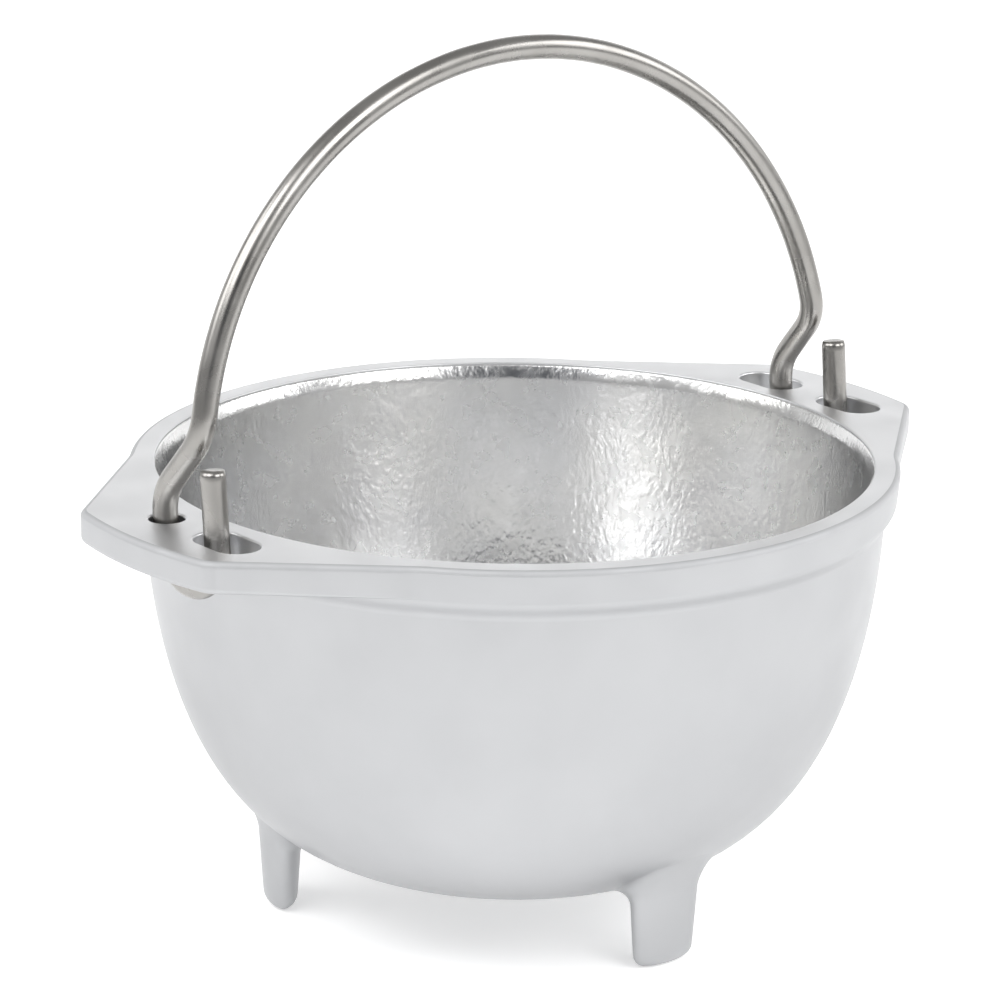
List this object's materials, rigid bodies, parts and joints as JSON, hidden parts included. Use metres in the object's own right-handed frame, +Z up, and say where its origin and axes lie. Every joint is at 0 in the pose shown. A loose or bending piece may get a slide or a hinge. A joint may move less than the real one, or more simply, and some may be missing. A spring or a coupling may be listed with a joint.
{
  "type": "melting pot",
  "caption": "Small round-bottomed cast pot on short oval legs, with lugs at the rim and a hooked wire bail that swings.",
  "frame": {"origin": "on the floor, at the middle of the bounding box, under the middle of the bowl", "axes": "+Z up; +X through the middle of both lugs, parallel to the bail's hinge line, towards the lug with two long openings; one leg stands on -Y"},
  "size_m": [0.1444, 0.12, 0.1379],
  "materials": {
    "cast_aluminium": "polished outside, glossy crinkled as-cast inside",
    "stainless_wire": "drawn wire, darker at the bends"
  },
  "bodies": {
    "pot": {"cast_pot": "cast_aluminium"},
    "bail": {"wire_bail": "stainless_wire"}
  },
  "joints": [
    {"name": "bail_swing", "type": "hinge", "parent": "pot", "child": "bail", "pos_m": [0, -0.00095, 0.07005], "axis": [1, 0, 0], "range_deg": [0, 45]}
  ]
}
